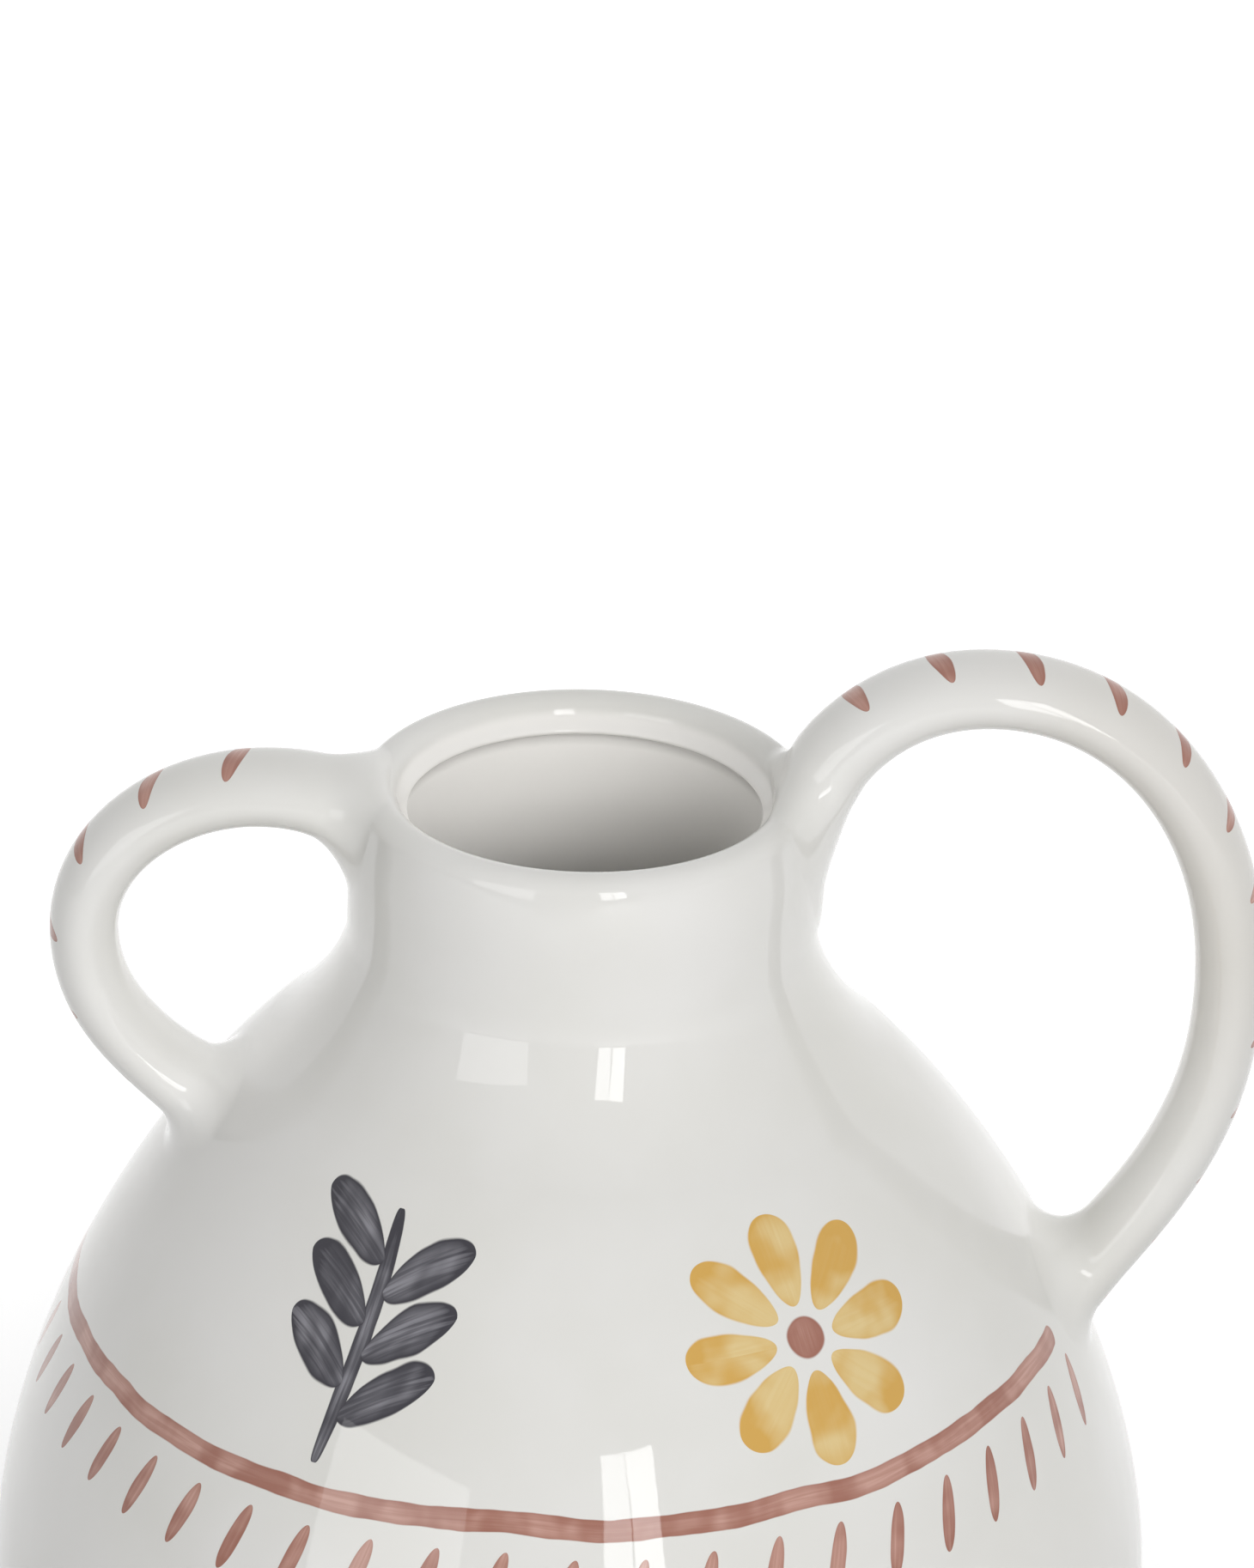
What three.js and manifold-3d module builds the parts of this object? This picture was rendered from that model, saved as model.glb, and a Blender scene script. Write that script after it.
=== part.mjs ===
// A stoneware vase with a rolled lip and two pulled handles of unlike size.
// Millimetres, +Z up, standing on its foot ring. +X points to the large handle and -Y to the front.
// It is an assembly, as the potter makes it: body, foot ring, neck and handles are formed apart, and slip
// fills the joints. Pieces that touch keep a thin seat gap.
import * as THREE from "three";
import { ParametricGeometry } from "three/addons/geometries/ParametricGeometry.js";
import { mergeVertices } from "three/addons/utils/BufferGeometryUtils.js";
import Module from "manifold-3d";

// Body: an ovoid shell, widest low down, with a long shoulder up to the throat
const bellyRadius = 100;
const bellyHeight = 90;
const shoulderRadius = 38;
const shoulderHeight = 200;
const shoulderSlope = THREE.MathUtils.degToRad(20);
const throatRadius = 31;
const bodyWall = 7;
const floorThickness = 9;
const floorRadius = 30;

// Foot ring: a turned ring with eased edges, set under the body
const footHeight = 7;
const footTopRadius = 58;
const footBaseRadius = 55;
const footWidth = 11;
const footEdge = 1.5;

// Neck: a collar with a full round lip, set a little off the body's axis and leaning the same way
const neckRadius = 40.3;
const neckRise = 40.6;
const neckWall = 8;
const neckSkirt = 9;
const lipRadius = 5.4;
const neckShift = 2.3;
const neckLean = THREE.MathUtils.degToRad(1.2);
const neckSeatHeight = 199;

// Handles: oval straps, broader across than they are thick, along routes in the XZ plane
const handleThickness = 12;
const handleWidth = 17;
const lowerSwell = { rise: 9, length: 6 };
const largeTop = 256.8;
const largeReach = 111.6;
const smallTop = 238.6;
const smallReach = 81;

// Slip: the layer under the neck, the cove outside it, and the fillets at the handle roots
const slipThickness = 1.2;
const coveRise = 2.4;
const coveSpread = 3.4;
const coveEdge = 0.6;
const lowerFillet = { inner: 8, outer: 6 };
const lowerReach = 17;
const filletStart = 2;
const filletSink = 0.6;
const seatGap = 0.3;

// Fineness of the turned and lofted surfaces
const turnSteps = 48;
const curveSteps = 10;
const lipSteps = 5;
const edgeSteps = 3;
const sectionSteps = 16;
const handleSteps = 32;
const filletSteps = 18;
const hostSteps = 200;

// Glaze and bare clay
const glaze = new THREE.MeshStandardMaterial({ color: 0xe9e8e3, roughness: 0.12, metalness: 0 });
const bareClay = new THREE.MeshStandardMaterial({ color: 0xd9cdb9, roughness: 0.85, metalness: 0 });

const wasm = await Module();
wasm.setup();

// The neck's own frame: its axis is +Z and its seat on the shoulder is at zero.
const neckFrame = new THREE.Group();
neckFrame.position.set(neckShift, 0, neckSeatHeight);
neckFrame.rotation.y = neckLean;
neckFrame.updateMatrix();

// A closed geometry as a solid that can be cut. Only positions stay, so that shared corners merge.
function toSolid(geometry) {
  const bare = new THREE.BufferGeometry();
  bare.setAttribute("position", geometry.getAttribute("position"));
  bare.setIndex(geometry.getIndex());
  const merged = mergeVertices(bare, 1e-4);
  const corners = merged.getIndex().array;
  const triangles = [];
  for (let i = 0; i < corners.length; i += 3) {
    const [a, b, c] = corners.slice(i, i + 3);
    if (a !== b && b !== c && c !== a) triangles.push(a, b, c);
  }
  const vertProperties = merged.getAttribute("position").array;
  const triVerts = new Uint32Array(triangles);
  return new wasm.Manifold(new wasm.Mesh({ numProp: 3, vertProperties, triVerts }));
}

// A piece of the vase: a solid as a named mesh.
function piece(name, solid, material) {
  const { vertProperties, triVerts } = solid.getMesh();
  const geometry = new THREE.BufferGeometry();
  geometry.setAttribute("position", new THREE.BufferAttribute(vertProperties, 3));
  geometry.setIndex(new THREE.BufferAttribute(triVerts, 1));
  geometry.computeVertexNormals();
  const mesh = new THREE.Mesh(geometry, material);
  mesh.name = name;
  return mesh;
}

// A profile of (radius, height) points turned about +Z.
function turned(profile) {
  const geometry = new THREE.LatheGeometry(profile, turnSteps);
  geometry.rotateX(Math.PI / 2);
  return geometry;
}

// The points of a profile moved along its outward normal, for a profile drawn upwards on the outside.
function grown(points, distance) {
  return points.map((point, i) => {
    const before = points[Math.max(i - 1, 0)];
    const after = points[Math.min(i + 1, points.length - 1)];
    const along = after.clone().sub(before).normalize();
    return new THREE.Vector2(point.x + distance * along.y, point.y - distance * along.x);
  });
}

function bodyOutside() {
  const throatRise = (shoulderRadius - throatRadius) * Math.tan(shoulderSlope);
  return new THREE.Path()
    .moveTo(footTopRadius, footHeight)
    .bezierCurveTo(78, 22, bellyRadius, 50, bellyRadius, bellyHeight)
    .bezierCurveTo(bellyRadius, 134, 61, 191.6, shoulderRadius, shoulderHeight)
    .lineTo(throatRadius, shoulderHeight + throatRise);
}

function bodyInside() {
  const floorTop = footHeight + floorThickness;
  const radius = bellyRadius - bodyWall;
  const top = shoulderHeight - bodyWall / Math.cos(shoulderSlope);
  return new THREE.Path()
    .moveTo(0, floorTop)
    .lineTo(floorRadius, floorTop)
    .bezierCurveTo(68, floorTop, radius, 48, radius, bellyHeight)
    .bezierCurveTo(radius, 131, 58, 184.4, shoulderRadius, top)
    .lineTo(throatRadius, top + (shoulderRadius - throatRadius) * Math.tan(shoulderSlope));
}

function body() {
  const axisFoot = new THREE.Vector2(0, footHeight);
  const outside = bodyOutside().getPoints(curveSteps);
  const inside = bodyInside().getPoints(curveSteps).reverse();
  return toSolid(turned([axisFoot, ...outside, ...inside]));
}

// The body without its hollow and grown all over, to cut what sits on it.
function bodyBlank(distance) {
  const outside = grown(bodyOutside().getPoints(curveSteps), distance);
  const top = outside[outside.length - 1].y;
  const profile = [new THREE.Vector2(0, 0), new THREE.Vector2(outside[0].x, 0), ...outside];
  return toSolid(turned([...profile, new THREE.Vector2(0, top)]));
}

function footRing() {
  const top = footHeight - seatGap;
  const inner = footBaseRadius - footWidth;
  const profile = new THREE.Path()
    .moveTo(inner + footEdge, 0)
    .lineTo(footBaseRadius - footEdge, 0)
    .quadraticCurveTo(footBaseRadius, 0, footBaseRadius, footEdge)
    .lineTo(footTopRadius, top)
    .lineTo(inner - footEdge, top)
    .lineTo(inner, footEdge)
    .quadraticCurveTo(inner, 0, inner + footEdge, 0)
    .getPoints(edgeSteps);
  return toSolid(turned(profile));
}

const lipCentre = neckRadius - lipRadius;
const lipHeight = neckRise - lipRadius;

// The collar as it is thrown, with a skirt below its seat that is trimmed to the shoulder.
function neck() {
  const bore = neckRadius - neckWall;
  const lipEnd = Math.PI + Math.acos((lipCentre - bore) / lipRadius);
  const profile = new THREE.Path()
    .moveTo(bore, -neckSkirt)
    .lineTo(neckRadius, -neckSkirt)
    .lineTo(neckRadius, lipHeight)
    .absarc(lipCentre, lipHeight, lipRadius, 0, lipEnd, false)
    .lineTo(bore, -neckSkirt)
    .getPoints(lipSteps);
  const collar = toSolid(turned(profile).applyMatrix4(neckFrame.matrix));
  return collar.subtract(bodyBlank(slipThickness + 2 * seatGap));
}

// The outside of the neck, from the skirt over the lip.
function neckOutside() {
  return new THREE.Path()
    .moveTo(neckRadius, -neckSkirt)
    .lineTo(neckRadius, lipHeight)
    .absarc(lipCentre, lipHeight, lipRadius, 0, Math.PI / 2, false);
}

function neckBlank(distance) {
  const outside = grown(neckOutside().getPoints(lipSteps), distance);
  const top = outside[outside.length - 1].y;
  const foot = new THREE.Vector2(0, -neckSkirt);
  const profile = [foot, ...outside, new THREE.Vector2(0, top)];
  return toSolid(turned(profile).applyMatrix4(neckFrame.matrix));
}

// The slip between neck and shoulder: a thin seat under the collar and a cove in the crease outside it.
function neckSlip() {
  const inner = neckRadius - neckWall;
  const outer = neckRadius + seatGap;
  const layer = new THREE.Path()
    .moveTo(inner, -neckSkirt)
    .lineTo(outer + coveEdge, -neckSkirt)
    .lineTo(outer + coveEdge, neckSkirt)
    .lineTo(inner, neckSkirt)
    .lineTo(inner, -neckSkirt)
    .getPoints(1);
  const cove = new THREE.Path()
    .moveTo(outer, -neckSkirt)
    .lineTo(outer + coveSpread, -neckSkirt)
    .lineTo(outer + coveSpread, -coveSpread * Math.tan(shoulderSlope))
    .quadraticCurveTo(outer + coveEdge, -coveEdge, outer + coveEdge, coveRise)
    .lineTo(outer, coveRise)
    .lineTo(outer, -neckSkirt)
    .getPoints(lipSteps);
  const seat = toSolid(turned(layer).applyMatrix4(neckFrame.matrix));
  const crease = toSolid(turned(cove).applyMatrix4(neckFrame.matrix));
  return seat
    .intersect(bodyBlank(slipThickness + seatGap))
    .add(crease)
    .subtract(bodyBlank(seatGap));
}

const handles = [
  {
    name: "large_handle",
    side: 1,
    upperSwell: { rise: 8, length: 15 },
    upperFillet: { inner: 13, outer: 1.2 },
    upperReach: 36,
    route: new THREE.Path()
      .moveTo(33, 217)
      .bezierCurveTo(39, 247, 55, largeTop, 69.5, largeTop)
      .bezierCurveTo(94, largeTop, largeReach, 234, largeReach, 204)
      .bezierCurveTo(largeReach, 180, 103.5, 163.5, 81, 139.5),
  },
  {
    name: "small_handle",
    side: -1,
    upperSwell: { rise: 4, length: 9 },
    upperFillet: { inner: 9, outer: 1.2 },
    upperReach: 21,
    route: new THREE.Path()
      .moveTo(-30, 231)
      .bezierCurveTo(-38, 237.5, -44, smallTop, -51, smallTop)
      .bezierCurveTo(-66.5, smallTop, -smallReach, 227, -smallReach, 212)
      .bezierCurveTo(-smallReach, 199, -73.5, 189.5, -56.5, 177.5),
  },
];

// One point of a handle's skin, its normal, and how far it faces the gap inside the handle, from 0 to 1.
// The section is an oval square to the route, swelling a little towards both roots.
function handleSkin(handle, along, turn) {
  const centre = handle.route.getPoint(along);
  const way = handle.route.getTangent(along);
  const outward = new THREE.Vector3(-way.y, 0, way.x).multiplyScalar(handle.side);
  const across = new THREE.Vector3(0, 1, 0);
  const angle = -2 * Math.PI * turn * handle.side;
  const length = handle.route.getLength();
  const upper = handle.upperSwell.rise * Math.exp((-length * along) / handle.upperSwell.length);
  const lower = lowerSwell.rise * Math.exp((-length * (1 - along)) / lowerSwell.length);
  const swell = upper + lower;
  const thickness = handleThickness + swell;
  const width = handleWidth + swell;
  const point = new THREE.Vector3(centre.x, 0, centre.y)
    .addScaledVector(outward, (thickness / 2) * Math.cos(angle))
    .addScaledVector(across, (width / 2) * Math.sin(angle));
  const normal = new THREE.Vector3()
    .addScaledVector(outward, Math.cos(angle) / thickness)
    .addScaledVector(across, Math.sin(angle) / width)
    .normalize();
  return { centre, point, normal, inward: (1 - Math.cos(angle)) / 2 };
}

// A closed loft along a stretch of the route. Its first and last rings shrink to points.
function handleLoft(handle, [start, end], steps, shift) {
  const skin = (turn, step, target) => {
    const station = step * steps - 1;
    const share = THREE.MathUtils.clamp(station / (steps - 2), 0, 1);
    const skinPoint = handleSkin(handle, start + (end - start) * share, turn);
    const { centre, point } = skinPoint;
    if (station < 0 || station > steps - 2) target.set(centre.x, 0, centre.y);
    else target.copy(point).add(shift(skinPoint));
  };
  return toSolid(new ParametricGeometry(skin, sectionSteps, steps));
}

function handleStrap(handle, distance) {
  return handleLoft(handle, [0, 1], handleSteps, ({ normal }) => normal.multiplyScalar(distance));
}

// The distance of a point from a turned outline, and the outline's normal where it is nearest.
function clearance(outline, frame, point) {
  const inverse = frame.matrix.clone().invert();
  const local = point.clone().applyMatrix4(inverse);
  const flat = new THREE.Vector2(Math.hypot(local.x, local.y), local.z);
  const lifted = grown(outline, 1);
  let nearest = 0;
  outline.forEach((corner, i) => {
    if (corner.distanceTo(flat) < outline[nearest].distanceTo(flat)) nearest = i;
  });
  const slope = lifted[nearest].clone().sub(outline[nearest]);
  const distance = slope.dot(flat.clone().sub(outline[nearest]));
  const outward = new THREE.Vector3((slope.x * local.x) / flat.x, (slope.x * local.y) / flat.x, slope.y);
  return { distance, normal: outward.transformDirection(frame.matrix) };
}

// A fillet of slip in a handle root: the handle's skin spread along its host's. It is fuller on the side of
// the gap, fades where the two skins run together, and sinks under the handle's skin where it ends.
function rootFillet(handle, span, fillet, host, frame) {
  const outline = host.getSpacedPoints(hostSteps);
  const shift = ({ point, normal, inward }) => {
    const radius = THREE.MathUtils.lerp(fillet.outer, fillet.inner, inward);
    const near = clearance(outline, frame, point);
    const rise = THREE.MathUtils.clamp(radius - near.distance, 0, radius);
    const cove = radius - Math.sqrt(radius ** 2 - rise ** 2);
    const spread = normal.clone().projectOnPlane(near.normal).multiplyScalar(cove);
    return spread.addScaledVector(normal, -filletSink);
  };
  return handleLoft(handle, span, filletSteps, shift);
}

const bodyFrame = new THREE.Group();
const vase = new THREE.Group();
vase.position.x = (bellyRadius - largeReach - handleThickness / 2) / 2;
vase.add(piece("body", body(), glaze));
vase.add(piece("foot_ring", footRing(), bareClay));
vase.add(piece("neck", neck(), glaze));
vase.add(piece("neck_slip", neckSlip(), glaze));

const hosts = bodyBlank(seatGap).add(neckBlank(seatGap));
for (const handle of handles) {
  const strap = handleStrap(handle, 0).subtract(hosts);
  vase.add(piece(handle.name, strap, glaze));
  const cutter = handleStrap(handle, seatGap).add(hosts);
  const length = handle.route.getLength();
  const upperSpan = [filletStart / length, handle.upperReach / length];
  const lowerSpan = [1 - lowerReach / length, 1 - filletStart / length];
  const upper = rootFillet(handle, upperSpan, handle.upperFillet, neckOutside(), neckFrame);
  const lower = rootFillet(handle, lowerSpan, lowerFillet, bodyOutside(), bodyFrame);
  vase.add(piece(`${handle.name}_upper_fillet`, upper.subtract(cutter), glaze));
  vase.add(piece(`${handle.name}_lower_fillet`, lower.subtract(cutter), glaze));
}

const part = new THREE.Group();
part.add(vase);

export default part;
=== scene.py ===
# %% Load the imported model
import math

import bmesh
import bpy
import numpy as np
from mathutils import Matrix, Vector
from mathutils.geometry import interpolate_bezier


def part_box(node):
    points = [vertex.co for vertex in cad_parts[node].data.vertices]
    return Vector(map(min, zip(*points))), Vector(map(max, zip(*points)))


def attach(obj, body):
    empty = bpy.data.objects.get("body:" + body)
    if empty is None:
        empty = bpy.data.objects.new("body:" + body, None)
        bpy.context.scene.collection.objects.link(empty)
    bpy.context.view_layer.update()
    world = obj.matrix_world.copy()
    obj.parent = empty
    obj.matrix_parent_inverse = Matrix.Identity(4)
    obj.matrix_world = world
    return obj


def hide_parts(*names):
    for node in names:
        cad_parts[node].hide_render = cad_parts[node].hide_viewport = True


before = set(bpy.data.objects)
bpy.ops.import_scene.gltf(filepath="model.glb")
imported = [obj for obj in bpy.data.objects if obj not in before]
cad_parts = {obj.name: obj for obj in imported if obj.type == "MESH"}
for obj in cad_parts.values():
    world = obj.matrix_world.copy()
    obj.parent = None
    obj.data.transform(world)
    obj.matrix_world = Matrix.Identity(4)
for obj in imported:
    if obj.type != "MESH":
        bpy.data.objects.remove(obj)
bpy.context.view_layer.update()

MM = 0.001

# %% [markdown]
# # A stoneware vase with two handles
#
# A potter throws the round body on a wheel, throws the collar apart, pulls two straps of clay for the
# handles and joins everything with slip, the wet clay that works as glue. The joints are then smoothed
# with a thumb, so the finished pot looks grown in one piece.
#
# The script follows the same order. First it reads the main sizes from the CAD model, so that the fine
# surfaces lie where the plain solids lie.

# %% Main sizes from the model
body_low, body_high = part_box("body")
neck_low, neck_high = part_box("neck")
foot_low, foot_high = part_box("foot_ring")

axis_x = (body_low.x + body_high.x) / 2
belly_radius = (body_high.y - body_low.y) / 2
neck_radius = (neck_high.y - neck_low.y) / 2
foot_radius = (foot_high.y - foot_low.y) / 2
foot_height = foot_high.z
throat_top = body_high.z

belly_height = 90 * MM
shoulder_radius = 38 * MM
shoulder_height = 200 * MM
throat_radius = 31 * MM
wall = 7 * MM
floor_height = 16 * MM
print("axis", axis_x, "belly", belly_radius, "neck", neck_radius, "foot", foot_radius)

# %% [markdown]
# ## The body: one profile, spun
#
# A thrown pot is round because the wheel turns. In Blender the same thing is a profile, a line drawn in
# the XZ plane, that `bmesh.ops.spin` turns about the axis. The profile runs from the middle of the
# underside up the outside, over the throat and down the inside to the middle of the floor.
#
# Two cubic Bezier curves make the outside: one from the foot to the belly, and one from the belly to the
# shoulder. Their handles are vertical at the belly, so the two meet without a crease.


# %% Profile of the body
def bezier(start, pull_start, pull_end, end, steps=40):
    """Points of one cubic Bezier curve, without its last point."""
    points = [Vector((x, 0, z)) for x, z in (start, pull_start, pull_end, end)]
    return [(p.x, p.z) for p in interpolate_bezier(*points, steps + 1)[:-1]]


belly = (belly_radius, belly_height)
shoulder = (shoulder_radius, shoulder_height)
foot_join = (foot_radius, foot_height)
lower_side = bezier(foot_join, (78 * MM, 22 * MM), (belly_radius, 50 * MM), belly)
upper_side = bezier(belly, (belly_radius, 135.5 * MM), (61 * MM, 191.6 * MM), shoulder, 60)
throat_ease = 3 * MM
throat_edge = (throat_radius, throat_top - throat_ease)
throat_roll = bezier(shoulder, (34 * MM, throat_top - MM), (throat_radius, throat_top), throat_edge, 8)
outside = lower_side + upper_side + throat_roll

inner_belly = (belly_radius - wall, belly_height)
inner_floor = (30 * MM, floor_height)
inner_throat = (throat_radius, throat_top - wall)
inside = bezier(inner_throat, (44 * MM, 190 * MM), (93 * MM, 140 * MM), inner_belly, 40)
inside += bezier(inner_belly, (93 * MM, 48 * MM), (68 * MM, floor_height), inner_floor, 30)

body_profile = [(0, foot_height), *outside, throat_edge, *inside, inner_floor, (0, floor_height)]
print(len(body_profile), "points in the profile of the body")


# %% Spin a profile
def profile_edges(bm, profile):
    """Vertices and edges of a profile in the XZ plane, with the length along it as an attribute."""
    rise = bm.verts.layers.float.new("rise")
    verts = [bm.verts.new((radius, 0, height)) for radius, height in profile]
    length = 0
    for before, after in zip(verts, verts[1:]):
        length += (after.co - before.co).length
        after[rise] = length
        bm.edges.new((before, after))
    return verts


def spin(bm, steps):
    """Turn all edges about the Z axis and close the surface."""
    bmesh.ops.spin(bm, geom=bm.verts[:] + bm.edges[:], cent=(0, 0, 0), axis=(0, 0, 1),
                   angle=2 * math.pi, steps=steps, use_merge=True)
    bmesh.ops.remove_doubles(bm, verts=bm.verts, dist=0.001 * MM)
    bmesh.ops.recalc_face_normals(bm, faces=bm.faces)


def piece(name, bm, material_slot, *nodes):
    """Turn a bmesh into an object that stands for CAD nodes."""
    for face in bm.faces:
        face.smooth = True
    mesh = bpy.data.meshes.new(name)
    bm.to_mesh(mesh)
    bm.free()
    made = bpy.data.objects.new(name, mesh)
    bpy.context.collection.objects.link(made)
    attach(made, "root")
    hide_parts(*nodes)
    print(name, len(mesh.polygons), "faces")
    return made


bm = bmesh.new()
profile_edges(bm, body_profile)
spin(bm, 192)
bmesh.ops.translate(bm, verts=bm.verts, vec=(axis_x, 0, 0))
thrown_body = piece("thrown_body", bm, "glaze", "body")

# %% [markdown]
# ## The foot ring: four corners, spun and bevelled
#
# The ring is turned from bare clay, so that the pot does not stick to the kiln shelf with its own glaze.
# Its section has four corners. After the spin, a bevel eases the two edges that touch the table.

# %% Foot ring
foot_width = 11 * MM
foot_base_radius = 55 * MM
foot_edge = 1.5 * MM
foot_inner_radius = foot_base_radius - foot_width
nearly = 0.01 * MM


def stands(edge):
    """Whether an edge runs round the ring at the level of the table."""
    first, second = (vert.co for vert in edge.verts)
    level = max(first.z, second.z) < nearly
    return level and abs(first.xy.length - second.xy.length) < nearly


bm = bmesh.new()
corners = profile_edges(bm, [(foot_radius, foot_height), (foot_base_radius, 0),
                             (foot_inner_radius, 0), (foot_inner_radius, foot_height)])
bm.edges.new((corners[-1], corners[0]))
spin(bm, 192)
standing = [edge for edge in bm.edges if stands(edge)]
bmesh.ops.bevel(bm, geom=standing, offset=foot_edge, offset_type="OFFSET", affect="EDGES",
                segments=5, profile=0.5, material=-1)
bmesh.ops.recalc_face_normals(bm, faces=bm.faces)
bmesh.ops.translate(bm, verts=bm.verts, vec=(axis_x, 0, 0))
turned_foot = piece("turned_foot", bm, "bare_clay", "foot_ring")

# %% [markdown]
# ## Joints that do not show
#
# The collar and the handles sit on the body as skins that end just under its surface. Two things hide
# the line where they meet: the skin arrives flat on the surface below it, its host, and its last
# vertices borrow the host's normals, so that light runs over the joint without a break.


# %% Hosts
class Host:
    """A turned surface: its outline, upwards, and where its axis stands."""

    def __init__(self, outline, matrix):
        self.outline = np.array(outline)
        self.turn = np.array(matrix.to_3x3())
        self.place = np.array(matrix.translation)

    def near(self, points):
        """Distance of each point from the surface, and the surface's normal beside it."""
        local = (points - self.place) @ self.turn
        radius = np.hypot(local[..., 0], local[..., 1])
        flat = np.stack([radius, local[..., 2]], -1)[..., None, :]
        start = self.outline[:-1]
        way = self.outline[1:] - start
        share = np.clip(((flat - start) * way).sum(-1) / (way ** 2).sum(-1), 0, 1)
        gap = flat - start - share[..., None] * way
        nearest = (gap ** 2).sum(-1).argmin(-1)
        side = np.stack([way[:, 1], -way[:, 0]], -1) / np.hypot(way[:, 0], way[:, 1])[:, None]
        gap = np.take_along_axis(gap, nearest[..., None, None], -2)[..., 0, :]
        side = side[nearest]
        distance = (gap * side).sum(-1)
        spoke = local[..., :2] / radius[..., None]
        normal = np.concatenate([spoke * side[..., :1], side[..., 1:]], -1)
        return distance, normal @ self.turn.T

    def at(self, points, height):
        """Move points straight to a height above the surface."""
        distance, normal = self.near(points)
        return points + normal * (height - distance)[..., None]


def seat(made, *hosts):
    """Shade the vertices that lie on a host as the host is shaded there, so that no line shows."""
    mesh = made.data
    points = np.array([vert.co for vert in mesh.vertices])
    marks = np.array([mark.value for mark in mesh.attributes["seat"].data])
    normals = np.array([normal.vector for normal in mesh.vertex_normals])
    for number, host in enumerate(hosts, 1):
        chosen = marks == number
        normals[chosen] = host.near(points[chosen])[1]
    mesh.normals_split_custom_set_from_vertices(normals)
    print(int((marks > 0).sum()), "seated vertices on", made.name)


body_host = Host(upper_side + [shoulder], Matrix.Translation((axis_x, 0, 0)))
print("body outline with", len(body_host.outline), "points")

# %% [markdown]
# ## The collar
#
# The collar was thrown apart and set on the shoulder by hand. It stands 2 mm off the axis and leans by a
# degree, and such small faults make a pot look made by hand. Its wall draws in a little below the lip.
# The lip is a roll that the potter smoothed with wet leather: an arc, then a slope inwards to an edge, and
# under that edge the wall stands back, so that a fine shadow runs round the inside of the mouth. Lip and
# wall are a little slimmer here than in the plain solids, because the photograph shows them so.
#
# At its foot the slip makes a soft hollow curve. Each point of that curve keeps its own height above the
# shoulder, so the collar is spun first, leaned, and then its foot is let down onto the body.

# %% Collar
neck_shift = 2.3 * MM
neck_lean = math.radians(1.2)
neck_seat = 199 * MM
wall_radius = 39.6 * MM
lip_radius = 3.45 * MM
lip_centre = 34.8 * MM
lip_height = 37.2 * MM
lip_edge = (29.8 * MM, 35.8 * MM)
wall_top = (31 * MM, 34.3 * MM)
bore_foot = (33 * MM, 6 * MM)
hollow_rise = 15.5 * MM
hollow_spread = 13.5 * MM
tuck = 0.5 * MM
skirt = 2 * MM
seated_rows = 2
stays_up = 1

neck_frame = (Matrix.Translation((axis_x + neck_shift, 0, neck_seat))
              @ Matrix.Rotation(neck_lean, 4, "Y"))


def shoulder_at(radius):
    """Height of the shoulder at a distance from the body's axis."""
    spare = 5 * MM
    upper = [point for point in upper_side if point[0] <= radius + spare] + [shoulder]
    return float(np.interp(-radius, [-r for r, _ in upper], [z for _, z in upper]))


lip = []
for t in np.radians(np.linspace(10, 163, 41)):
    lip.append((lip_centre + lip_radius * math.cos(t), lip_height + lip_radius * math.sin(t)))
taper = bezier((wall_radius, 26 * MM), (wall_radius, 30 * MM), (39.1 * MM, 32.9 * MM), lip[0], 12)
slope = bezier(lip[-1], (31.25 * MM, 37.4 * MM), (30.4 * MM, 36.6 * MM), lip_edge, 6)
under_lip = bezier(lip_edge, (29.35 * MM, 35.2 * MM), (29.9 * MM, 34.7 * MM), wall_top, 8)
bore = bezier(wall_top, (29.8 * MM, 27 * MM), (27.6 * MM, 14 * MM), bore_foot, 12)
hollow_turns = np.radians(np.linspace(0, 90, 24))

bm = bmesh.new()
lift = bm.verts.layers.float.new("lift")
seat_mark = bm.verts.layers.float.new("seat")
foot_line = [(wall_radius + hollow_spread + skirt, -tuck)]
for t in reversed(hollow_turns):
    foot_line.append((wall_radius + hollow_spread * (1 - math.cos(t)), hollow_rise * (1 - math.sin(t))))
wall_line = [(wall_radius, 20 * MM), *taper]
mouth_line = slope[1:] + under_lip + bore + [bore_foot, (32.5 * MM, 3 * MM)]
foot_verts = len(foot_line)
collar_outside = foot_line + wall_line + lip
verts = profile_edges(bm, collar_outside + mouth_line)
bm.edges.new((verts[-1], verts[0]))
for number, vert in enumerate(verts):
    vert[lift] = vert.co.z if number < foot_verts else stays_up
    vert[seat_mark] = 1 if number < seated_rows else 0
spin(bm, 192)
bmesh.ops.transform(bm, verts=bm.verts, matrix=neck_frame)
for vert in bm.verts:
    if vert[lift] < stays_up:
        vert.co.z = shoulder_at(math.hypot(vert.co.x - axis_x, vert.co.y)) + vert[lift]
bmesh.ops.recalc_face_normals(bm, faces=bm.faces)
collar = piece("collar", bm, "glaze", "neck", "neck_slip")
seat(collar, body_host)

# %% [markdown]
# ## The handles
#
# A handle is pulled: wet clay is drawn through the hand until it is an even strap with an oval section.
# Its middle line is a chain of three Bezier curves in the XZ plane. An oval is set square to that line
# every two millimetres, and each oval is the last one extruded and moved.
#
# Both ends swell where the potter presses the clay on. They have to flow into the pot, so each column of
# the strap is followed down to the surface that it meets, its host. Below a height of one fillet radius
# it is led away in a quarter circle, and it ends just under the host's skin.


# %% Neck as a host
neck_line = [(wall_radius, height * MM) for height in (-5, 5, 15)]
neck_host = Host(neck_line + wall_line + lip + mouth_line, neck_frame)
print("neck outline with", len(neck_host.outline), "points")

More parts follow.
